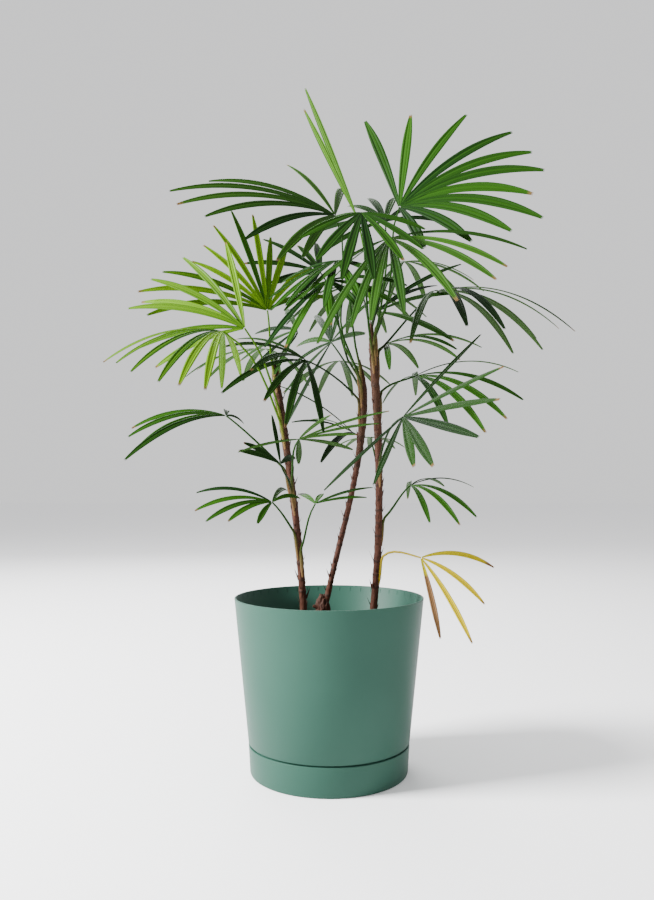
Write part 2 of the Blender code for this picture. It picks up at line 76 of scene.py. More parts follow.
# Short upright ribs on the inner wall: each is rooted in the wall, stands a little off it at its top and
# fades into it at its foot.
RIBS = 48
RIB_HALF_WIDTH = 0.0007
RIB_ROOT = 0.0004
RIB_TOP = POT_HEIGHT - 0.003
RIB_FOOT = RIB_TOP - 0.014
RIB_DEPTHS = ((RIB_TOP, 0.0007), (RIB_FOOT, 0.0002))
PLASTIC_GREENS = ((0.021, 0.062, 0.045), (0.026, 0.073, 0.053))
PLASTIC_PATCHES = 9.0
PLASTIC_GRAIN = 900.0
PLASTIC_GRAIN_DEPTH = 0.0002
REFRACTION = 1.3
RELIEF_STRENGTH = 0.6


class Field:
    """A shader socket, with arithmetic that adds the nodes it needs."""

    def __init__(self, tree, socket):
        self.tree = tree
        self.socket = socket

    def node(self, kind, output, inputs, **settings):
        made = self.tree.nodes.new(kind)
        for name, value in settings.items():
            setattr(made, name, value)
        for key, value in inputs.items():
            if isinstance(value, Field):
                self.tree.links.new(value.socket, made.inputs[key])
            else:
                made.inputs[key].default_value = value
        return Field(self.tree, made.outputs[output])

    def maths(self, operation, *values):
        return self.node("ShaderNodeMath", 0, dict(enumerate(values)), operation=operation)

    def __add__(self, other):
        return self.maths("ADD", self, other)

    __radd__ = __add__

    def __mul__(self, other):
        return self.maths("MULTIPLY", self, other)

    __rmul__ = __mul__

    def __sub__(self, other):
        return self.maths("SUBTRACT", self, other)

    def __rsub__(self, other):
        return self.maths("SUBTRACT", other, self)


def paint(name, roughness, gloss, surface):
    """A Principled material; surface turns object coordinates into a colour, a relief and its depth."""
    material = bpy.data.materials.new(name)
    material.use_nodes = True
    tree = material.node_tree
    shader = tree.nodes["Principled BSDF"]
    shader.inputs["Roughness"].default_value = roughness
    shader.inputs["Specular IOR Level"].default_value = gloss
    shader.inputs["IOR"].default_value = REFRACTION
    place = Field(tree, tree.nodes.new("ShaderNodeTexCoord").outputs["Object"])
    colour, height, depth = surface(place)
    tree.links.new(colour.socket, shader.inputs["Base Color"])
    relief = {"Strength": RELIEF_STRENGTH, "Distance": depth, "Height": height}
    tree.links.new(place.node("ShaderNodeBump", 0, relief).socket, shader.inputs["Normal"])
    return material


def mixed(share, first, second):
    """The first colour where the share is 0 and the second where it is 1."""
    first, second = ((*c, 1) if isinstance(c, tuple) else c for c in (first, second))
    return share.node("ShaderNodeMix", 2, {0: share, 6: first, 7: second}, data_type="RGBA")


def grain(place, scale, stretch=(1, 1, 1)):
    """Soft random variation from 0 to 1, the finer the larger the scale."""
    moved = place.node("ShaderNodeMapping", 0, {"Vector": place, "Scale": stretch})
    return place.node("ShaderNodeTexNoise", 0, {"Vector": moved, "Scale": scale, "Detail": 4.0})


def value_of(place, name):
    """A number that the mesh carries at each of its points."""
    return place.node("ShaderNodeAttribute", 2, {}, attribute_name=name)


def piece_of(name, points, edges, faces):
    """A linked object with this mesh, the only one selected."""
    mesh = bpy.data.meshes.new(name)
    mesh.from_pydata(points, edges, faces)
    piece = bpy.data.objects.new(name, mesh)
    bpy.context.collection.objects.link(piece)
    bpy.ops.object.select_all(action="DESELECT")
    piece.select_set(True)
    bpy.context.view_layer.objects.active = piece
    return piece


def turned(name, profile, steps=TURNED_STEPS):
    """Spins a profile of (radius, height) about the pot's axis."""
    edges = [(i, i + 1) for i in range(len(profile) - 1)]
    piece = piece_of(name, [(radius, 0, height) for radius, height in profile], edges, [])
    bpy.ops.object.mode_set(mode="EDIT")
    bpy.ops.mesh.select_all(action="SELECT")
    bpy.ops.mesh.spin(steps=steps, angle=2 * math.pi, center=(0, 0, 0), axis=(0, 0, 1))
    bpy.ops.mesh.select_all(action="SELECT")
    bpy.ops.mesh.remove_doubles(threshold=MERGE_DISTANCE)
    bpy.ops.object.mode_set(mode="OBJECT")
    return piece


def joined_to(piece):
    """Joins the selected object to this one."""
    piece.select_set(True)
    bpy.context.view_layer.objects.active = piece
    bpy.ops.object.join()


def seated(piece, material, node):
    """Finishes a piece and shows it in place of a node's plain solid."""
    bpy.ops.object.mode_set(mode="EDIT")
    bpy.ops.mesh.select_all(action="SELECT")
    bpy.ops.mesh.normals_make_consistent(inside=False)
    bpy.ops.object.mode_set(mode="OBJECT")
    bpy.ops.object.shade_smooth_by_angle(angle=SMOOTH_BELOW)
    piece.data.materials.clear()
    piece.data.materials.append(material)
    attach(piece, "root")
    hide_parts(node)


def wall_radius(height):
    """The pot's outer radius above its shoulder."""
    share = (height - SHOULDER_HEIGHT) / (POT_HEIGHT - SHOULDER_HEIGHT)
    return SHOULDER_RADIUS + share * (RIM_RADIUS - SHOULDER_RADIUS)


def inner_wall_radius(height):
    """The pot's inner radius above its neck."""
    foot = SHOULDER_HEIGHT + FILLET
    share = (height - foot) / (POT_HEIGHT - RIM_EDGE - foot)
    return NECK_RADIUS - POT_WALL + share * (RIM_RADIUS - NECK_RADIUS)


def around_axis(angle):
    """The level direction at this angle from +X."""
    return Vector((math.cos(angle), math.sin(angle), 0))


def ring_faces(count, sides):
    """The faces of a shape made of rings: its two ends, and one between each side and the next ring."""
    faces = [tuple(range(sides)), tuple(range(count - sides, count))]
    for low in range(0, count - sides, sides):
        high = low + sides
        for turn in range(sides):
            beside = (turn + 1) % sides
            faces.append((low + turn, low + beside, high + beside, high + turn))
    return faces


def numbered_from(start, faces):
    """The faces of a shape whose corners come after this many others."""
    return [tuple(start + i for i in face) for face in faces]


def inside_ribs():
    """The ribs' corners and faces: eight corners a rib, four at its top and four at its foot."""
    corners, faces = [], []
    for turn in range(RIBS):
        outward = around_axis(2 * math.pi * turn / RIBS)
        side = Vector((-outward.y, outward.x, 0)) * RIB_HALF_WIDTH
        faces += numbered_from(len(corners), ring_faces(8, 4))
        for height, depth in RIB_DEPTHS:
            root = outward * (inner_wall_radius(height) + RIB_ROOT) + UP * height
            face = root - outward * depth
            corners += [root - side, root + side, face + side, face - side]
    return corners, faces


def plastic_surface(place):
    """A matte green that varies a little from place to place, with a fine moulded grain."""
    green = mixed(grain(place, PLASTIC_PATCHES), *PLASTIC_GREENS)
    return green, grain(place, PLASTIC_GRAIN), PLASTIC_GRAIN_DEPTH


plastic = paint("plastic", roughness=0.45, gloss=0.20, surface=plastic_surface)
pot = turned("pot_shown", (
    (0, POT_FLOOR),
    (FOOT_RADIUS - FILLET, POT_FLOOR),
    (FOOT_RADIUS, POT_FLOOR + FILLET),
    (NECK_RADIUS, SAUCER_HEIGHT),
    (NECK_RADIUS, SHOULDER_HEIGHT - RIM_EDGE),
    (SHOULDER_RADIUS - RIM_EDGE, SHOULDER_HEIGHT - RIM_EDGE),
    (SHOULDER_RADIUS, SHOULDER_HEIGHT),
    (wall_radius(WALL_MIDDLE), WALL_MIDDLE),
    (wall_radius(WALL_TOP), WALL_TOP),
    (RIM_RADIUS, POT_HEIGHT - LIP_EDGE),
    (RIM_RADIUS - LIP_EDGE, POT_HEIGHT),
    (RIM_RADIUS - POT_WALL + LIP_EDGE, POT_HEIGHT),
    (RIM_RADIUS - POT_WALL, POT_HEIGHT - LIP_EDGE),
    (NECK_RADIUS - POT_WALL, SHOULDER_HEIGHT + FILLET),
    (FOOT_RADIUS - POT_WALL, POT_INSIDE_FLOOR + FILLET),
    (FOOT_RADIUS - POT_WALL - FILLET, POT_INSIDE_FLOOR),
    (0, POT_INSIDE_FLOOR),
))
rib_corners, rib_faces = inside_ribs()
piece_of("ribs", rib_corners, [], rib_faces)
joined_to(pot)
seated(pot, plastic, "pot")

saucer_inside = SAUCER_FOOT_RADIUS - SAUCER_WALL
saucer = turned("saucer_shown", (
    (0, 0),
    (SAUCER_FOOT_RADIUS - FILLET, 0),
    (SAUCER_FOOT_RADIUS - SAUCER_FOOT_EDGE, SAUCER_FOOT_EDGE),
    (SAUCER_FOOT_RADIUS, FILLET),
    (SAUCER_LIP_RADIUS, SAUCER_HEIGHT - SAUCER_EDGE),
    (SAUCER_LIP_RADIUS - SAUCER_EDGE, SAUCER_HEIGHT),
    (SAUCER_LIP_RADIUS - SAUCER_WALL, SAUCER_HEIGHT),
    (saucer_inside, SAUCER_FLOOR + FILLET),
    (saucer_inside - FILLET, SAUCER_FLOOR),
    (0, SAUCER_FLOOR),
))
seated(saucer, plastic, "saucer")

# Potting mix: dark crumbly compost that fills the pot up to well below its rim, with an uneven top strewn
# with lumps of bark. It is poured in loose and pressed down round the canes.
SOIL_TOP = 0.220
SOIL_EDGE = 0.004
MIX_CLEAR = 2 * GAP
MIX_RINGS = 30
MIX_STEPS = 120
# The top swells and sinks by up to the first of these, and lies lower by the second.
MIX_SWELL = 0.004
MIX_SINK = 0.001
MIX_WAVES = 90
LUMPS = 420
LUMP_FROM_WALL = 0.006
LUMP_LIFT = 0.0005
LUMP_RADIUS = 0.0022
LUMP_RADIUS_VARIES = 0.0018
LUMP_UNEVENNESS = 0.7
LUMP_DENTS = 400
# Turned by this angle each time, things spread evenly round an axis and never line up.
GOLDEN_ANGLE = math.radians(137.5)
COMPOST_BROWNS = ((0.010, 0.006, 0.004), (0.090, 0.055, 0.032))
COMPOST_PATCHES = 160.0
COMPOST_CRUMBS = 260.0
COMPOST_CRUMB_DEPTH = 0.003
soil_shoulder = SOIL_TOP - SOIL_EDGE
soil_radius = inner_wall_radius(soil_shoulder) - MIX_CLEAR


def ball(subdivisions, radius):
    """The corners and faces of a round lump, before it is given its shape."""
    bm = bmesh.new()
    bmesh.ops.create_icosphere(bm, subdivisions=subdivisions, radius=radius)
    bm.verts.index_update()
    corners = [corner.co.copy() for corner in bm.verts]
    faces = [tuple(corner.index for corner in face.verts) for face in bm.faces]
    bm.free()
    return corners, faces


def bark_lumps():
    """The lumps' corners and faces, spread evenly over the top and each of its own size and shape."""
    corners, faces = [], []
    for number in range(LUMPS):
        reach = (soil_radius - LUMP_FROM_WALL) * math.sqrt((number + 0.5) / LUMPS)
        spot = around_axis(number * GOLDEN_ANGLE) * reach + UP * (SOIL_TOP + LUMP_LIFT)
        size = LUMP_RADIUS + LUMP_RADIUS_VARIES * noise.noise(Vector((number * 0.73, 0.2, 0.4)))
        round_corners, round_faces = ball(1, size)
        faces += numbered_from(len(corners), round_faces)
        for corner in round_corners:
            uneven = 1 + LUMP_UNEVENNESS * noise.noise(corner * LUMP_DENTS + spot * 900)
            corners.append(spot + corner * uneven)
    return corners, faces


def compost_surface(place):
    """Near-black crumbs among paler bits of bark."""
    brown = mixed(grain(place, COMPOST_PATCHES), *COMPOST_BROWNS)
    return brown, grain(place, COMPOST_CRUMBS), COMPOST_CRUMB_DEPTH


compost = paint("compost", roughness=0.95, gloss=0.20, surface=compost_surface)
mix = turned("potting_mix_shown", [
    (0, POT_INSIDE_FLOOR + GAP),
    (FOOT_RADIUS - POT_WALL - FILLET - MIX_CLEAR, POT_INSIDE_FLOOR + GAP),
    (FOOT_RADIUS - POT_WALL - MIX_CLEAR, POT_INSIDE_FLOOR + GAP + FILLET),
    (inner_wall_radius(SHOULDER_HEIGHT + FILLET) - MIX_CLEAR, SHOULDER_HEIGHT + FILLET),
    (soil_radius, soil_shoulder),
] + [(soil_radius * (1 - ring / MIX_RINGS), SOIL_TOP) for ring in range(1, MIX_RINGS + 1)], MIX_STEPS)
for corner in mix.data.vertices:
    if corner.co.z > soil_shoulder + GAP:
        corner.co.z += MIX_SWELL * noise.noise(corner.co * MIX_WAVES) - MIX_SINK
lump_corners, lump_faces = bark_lumps()
piece_of("lumps", lump_corners, [], lump_faces)
joined_to(mix)
seated(mix, compost, "potting_mix")

# Canes: woody red-brown stems ringed by old leaf scars, streaked with fibre and ragged with torn leaf
# bases, and wrapped in dull brown leaf sheaths towards their tops. They root in the potting mix, and the
# middle one grows out of a gnarled knot.

# A cane: its line runs smoothly through the four points, and the radii belong to foot, shaft and top.
Cane = namedtuple("Cane", "foot lower upper top foot_radius shaft_radius sheath_radius")
CANE_SIDES = 8
CANE_RINGS = 11
FLARE_LENGTH = 0.030
TIP_LENGTH = 0.030
TIP_RADIUS_SHARE = 0.35
# The sheaths start at this share of the cane's height and reach full thickness over the second.
SHEATH_START = 0.55
SHEATH_GROWTH = 0.25
CANE_FOOT = SOIL_TOP + GAP
CANES = {
    "stem_left": Cane((-0.039, -0.010, CANE_FOOT), (-0.046, -0.010, 0.329), (-0.070, -0.010, 0.521),
                      (-0.092, -0.010, 0.655), 0.0080, 0.0058, 0.0068),
    "stem_middle": Cane((-0.012, 0.030, CANE_FOOT), (0.012, 0.030, 0.330), (0.052, 0.030, 0.520),
                        (0.051, 0.025, 0.655), 0.0075, 0.0050, 0.0070),
    "stem_right": Cane((0.067, 0.000, CANE_FOOT), (0.077, 0.000, 0.330), (0.079, 0.000, 0.520),
                       (0.067, 0.000, 0.715), 0.0085, 0.0060, 0.0072),
}
# The gnarled knot at the middle cane's foot: centre, half sizes, and the tip of the stub that points left
# from its centre.
KNOT_CENTRE = (-0.010, 0.030, 0.246)
KNOT_HALF_SIZE = (0.012, 0.010, 0.024)
STUB_TO = (-0.026, 0.028, 0.252)
STUB_RADIUS = 0.0040
STUB_TIP_SHARE = 0.6


def cane_line(cane, height):
    """The cane's centre at this height, on the cubic through its four points."""
    marks = [Vector(point) for point in cane[:4]]
    centre = Vector()
    for mark in marks:
        weight = 1
        for other in marks:
            if other is not mark:
                weight *= (height - other.z) / (mark.z - other.z)
        centre += weight * mark
    return centre


def cane_radius(cane, height):
    """Root flare at the foot, a slow taper, a thicker sheathed top and a pointed tip."""
    above_foot = height - cane.foot[2]
    below_top = cane.top[2] - height
    flare = max(0, 1 - above_foot / FLARE_LENGTH) ** 2
    radius = cane.shaft_radius + flare * (cane.foot_radius - cane.shaft_radius)
    share_up = above_foot / (cane.top[2] - cane.foot[2])
    sheathed = min(1, max(0, (share_up - SHEATH_START) / SHEATH_GROWTH))
    radius += sheathed * (cane.sheath_radius - cane.shaft_radius)
    return radius * (TIP_RADIUS_SHARE + (1 - TIP_RADIUS_SHARE) * min(1, below_top / TIP_LENGTH))


def tube(points, radii, sides):
    """A closed shape of rings of corners along a line that keeps roughly to one upright plane."""
    chord = points[-1] - points[0]
    side = Vector((-chord.y, chord.x, 0))
    side = side.normalized() if side.length > 0.1 * abs(chord.z) else Vector((0, 1, 0))
    corners = []
    for i, (point, radius) in enumerate(zip(points, radii)):
        before = points[max(0, i - 1)]
        after = points[min(len(points) - 1, i + 1)]
        rise = side.cross(after - before).normalized()
        for turn in range(sides):
            angle = 2 * math.pi * turn / sides
            corners.append(point + radius * (math.cos(angle) * side + math.sin(angle) * rise))
    return corners, ring_faces(len(corners), sides)


def cane_shape(cane):
    """The plain cane, with level rings, so that its foot is a flat cut on the potting mix."""
    foot = cane.foot[2] + FLARE_LENGTH
    neck = cane.top[2] - TIP_LENGTH
    shaft = [foot + (neck - foot) * i / (CANE_RINGS - 4) for i in range(CANE_RINGS - 3)]
    heights = [cane.foot[2], cane.foot[2] + FLARE_LENGTH / 3] + shaft + [cane.top[2]]
    corners = []
    for height in heights:
        centre = cane_line(cane, height)
        radius = cane_radius(cane, height)
        for turn in range(CANE_SIDES):
            corners.append(centre + radius * around_axis(2 * math.pi * turn / CANE_SIDES))
    return corners, ring_faces(len(corners), CANE_SIDES)


def knot_point(corner, swell=1):
    """A ball's corner moved to the knot, and kept from going below the cane's own foot."""
    point = Vector([KNOT_CENTRE[i] + corner[i] * KNOT_HALF_SIZE[i] * swell for i in range(3)])
    point.z = max(point.z, CANE_FOOT)
    return point


def knot_shape():
    """The plain lump at the middle cane's foot."""
    corners, faces = ball(2, 1)
    return [knot_point(corner) for corner in corners], faces


# The bark's rings and its corners round each, finer than the plain cane that the fronds keep clear of.
BARK_ROWS = 300
BARK_SIDES = 24
# Leaf scars stand out as low ridges this far apart, and each fades away over this share of that distance.
SCAR_SPACING = 0.027
SCAR_FADING = 0.07
# From cane to cane the scars shift by this share of their distance, and along a cane they drift by the
# second, so that they are unevenly spaced.
SCAR_SHIFT = 0.4
SCAR_DRIFT = 0.25
SCAR_DRIFT_TURN = 37
# The bark's radius as a share of the plain cane's: its level, the scars' ridges, and its roughness, which
# changes this often for each metre of height.
BARK_LEVEL = 0.96
SCAR_RIDGE = 0.10
BARK_ROUGHNESS = 0.14
ROUGH_PER_METRE = 130
# Colour and relief turn from bark to sheath over this share of the cane's height, and a sheath hides this
# share of a scar's ridge.
SHEATH_CHANGE = 0.12
SHEATH_HIDES = 0.6
# The cane rounds off to its top over this length, as if it ended the second length higher.
TOP_ROUNDING = 0.060
TOP_MARGIN = 0.002
KNOT_DETAIL = 5
KNOT_LEVEL = 0.95
KNOT_SWELLINGS = 0.28
KNOT_WRINKLES = 0.08
STUB_ROUND = 12
# Torn leaf bases stand off the bark as short fibrous flakes, one after the other round the cane.
FLAKES = 52
FLAKE_LENGTH = 0.011
FLAKE_WIDTH = 0.0024
FLAKE_STANDS = 0.0050
FLAKE_ROOT_DEPTH = 0.001
FLAKE_ROOT_SHARE = 0.9
FLAKE_LEAST_SIZE = 0.6
FLAKE_SIZE_VARIES = 1.8
FLAKE_FACES = ((0, 1, 3), (1, 2, 3), (2, 0, 3), (0, 2, 1))
# How far the knot, its stub and the flakes count as scar.
KNOT_SCAR = 0.5
STUB_SCAR = 0.3
FLAKE_SCAR = 0.6
BARK_BROWNS = ((0.008, 0.003, 0.002), (0.085, 0.030, 0.017))
SCAR_BROWN = (0.014, 0.008, 0.006)
SHEATH_BROWNS = ((0.009, 0.005, 0.003), (0.060, 0.030, 0.014))
# How much of the streaked bark a scar's brown hides, and then how much of that a sheath hides.
SCAR_COVER = 0.75
SHEATH_COVER = 0.6
BARK_STREAKS = 60.0
STREAK_STRETCH = (9, 9, 0.7)
BARK_STREAK_DEPTH = 0.0012


def bark_shape(cane, order):
    """The cane's ringed and uneven skin: corners and faces, and how far each corner is scar and sheath."""
    corners, scars, sheaths = [], [], []
    tall = cane.top[2] - cane.foot[2]
    for row in range(BARK_ROWS + 1):
        share = row / BARK_ROWS
        height = cane.foot[2] + share * tall
        drift = SCAR_SHIFT * order + SCAR_DRIFT * math.sin(SCAR_DRIFT_TURN * share)
        ring = (height - cane.foot[2]) / SCAR_SPACING + drift
        scar = math.exp(-((ring - round(ring)) / SCAR_FADING) ** 2)
        sheath = min(1, max(0, (share - SHEATH_START) / SHEATH_CHANGE))
        ridge = SCAR_RIDGE * scar * (1 - SHEATH_HIDES * sheath)
        rounding = min(1, (cane.top[2] - height + TOP_MARGIN) / TOP_ROUNDING) ** 0.5
        for turn in range(BARK_SIDES):
            around = around_axis(2 * math.pi * turn / BARK_SIDES)
            rough_at = Vector((around.x * 2, around.y * 2, height * ROUGH_PER_METRE + 9 * order))
            relief = BARK_LEVEL + ridge + BARK_ROUGHNESS * noise.noise(rough_at)
            radius = cane_radius(cane, height) * rounding * relief
            corners.append(cane_line(cane, height) + radius * around)
        scars += [scar] * BARK_SIDES
        sheaths += [sheath] * BARK_SIDES
    return corners, ring_faces(len(corners), BARK_SIDES), scars, sheaths


def gnarled_knot():
    """The middle cane's swollen foot, broad swellings with finer wrinkles on them."""
    corners = []
    round_corners, faces = ball(KNOT_DETAIL, 1)
    for corner in round_corners:
        swell = KNOT_LEVEL + KNOT_SWELLINGS * noise.noise(corner * 2.6)
        swell += KNOT_WRINKLES * noise.noise(corner * 9)
        corners.append(knot_point(corner, swell))
    return corners, faces, [KNOT_SCAR] * len(corners), [0.0] * len(corners)


def knot_stub():
    """The short broken stub that points left from the knot."""
    radii = [STUB_RADIUS, STUB_RADIUS * STUB_TIP_SHARE]
    corners, faces = tube([Vector(KNOT_CENTRE), Vector(STUB_TO)], radii, STUB_ROUND)
    return corners, faces, [STUB_SCAR] * len(corners), [0.0] * len(corners)


def torn_flake(cane, order, number):
    """One pointed flake, rooted in the bark and leaning up and out of it."""
    flaky_length = cane.top[2] - cane.foot[2] - 4 * FLAKE_LENGTH
    height = cane.foot[2] + FLAKE_LENGTH + flaky_length * number / FLAKES
    around = around_axis(number * GOLDEN_ANGLE + order)
    across = Vector((-around.y, around.x, 0))
    size = FLAKE_LEAST_SIZE + FLAKE_SIZE_VARIES * abs(noise.noise(Vector((number * 1.3, order, 0.7))))
    root = cane_line(cane, height) + around * cane_radius(cane, height) * FLAKE_ROOT_SHARE
    tip = root + (around * FLAKE_STANDS + UP * FLAKE_LENGTH) * size
    corners = [root - across * FLAKE_WIDTH * size, root + across * FLAKE_WIDTH * size,
               root - around * FLAKE_ROOT_DEPTH, tip]
    return corners, FLAKE_FACES, [FLAKE_SCAR] * len(corners), [0.0] * len(corners)


def bark_surface(place):
    """Red-brown streaks along the cane, darker at the leaf scars and duller over the sheaths."""
    streak = grain(place, BARK_STREAKS, STREAK_STRETCH)
    ringed = mixed(value_of(place, "scar") * SCAR_COVER, mixed(streak, *BARK_BROWNS), SCAR_BROWN)
    sheathed = mixed(streak, *SHEATH_BROWNS)
    return mixed(value_of(place, "sheath") * SHEATH_COVER, ringed, sheathed), streak, BARK_STREAK_DEPTH


bark = paint("bark", roughness=0.62, gloss=0.25, surface=bark_surface)
for order, (name, cane) in enumerate(CANES.items()):
    shapes = [bark_shape(cane, order)]
    if name == "stem_middle":
        shapes += [gnarled_knot(), knot_stub()]
    shapes += [torn_flake(cane, order, number) for number in range(FLAKES)]
    corners, faces, scars, sheaths = [], [], [], []
    for some_corners, some_faces, some_scars, some_sheaths in shapes:
        faces += numbered_from(len(corners), some_faces)
        corners += some_corners
        scars += some_scars
        sheaths += some_sheaths
    piece = piece_of(name + "_shown", corners, [], faces)
    piece.data.attributes.new("scar", "FLOAT", "POINT").data.foreach_set("value", scars)
    piece.data.attributes.new("sheath", "FLOAT", "POINT").data.foreach_set("value", sheaths)
    seated(piece, bark, name)

# Fronds: each a slim green petiole from a clasping base, and pleated leaflets with a blunt toothed tip
# and a pale midrib, on which a painted highlight marks the fold's bright line. A leaflet's colour varies
# along it, its underside is paler, and some tips dry brown.

# A frond's petiole arcs from its cane to the hub.
PETIOLE_SIDES = 3
PETIOLE_RINGS = 7
PETIOLE_BASE_RADIUS = 0.0022
PETIOLE_TIP_RADIUS = 0.0014
PETIOLE_CLEARANCE = 0.0010
# How far the petiole keeps to its first and its last direction, as shares of its reach.
PETIOLE_LEAVING = 0.35
PETIOLE_ARRIVING = 0.30
HUB_RADIUS = 0.0060
HUB_HALF_THICKNESS = 0.0020
HUB_SIDES = 6

# A plain leaflet, which others keep clear of: its line is walked in equal steps, and its blade is built
# on some of them, given as (step, share of width).
LINE_STEPS = 8
BLADE_STATIONS = ((0, 0.22), (2, 0.78), (5, 1.00), (7, 0.74), (8, 0.24))
LEAFLET_START = 0.002
LEAFLET_THICKNESS_SHARE = 0.011
LEAFLET_LEAST_THICKNESS = 0.0016
# A leaflet that would touch another frond or a cane is swayed out of its blade by one of these angles, or
# left out.
SWAYS = (0, 7, -7, 14, -14, 21, -21)
LEAFLET_CLEARANCE = 0.0006
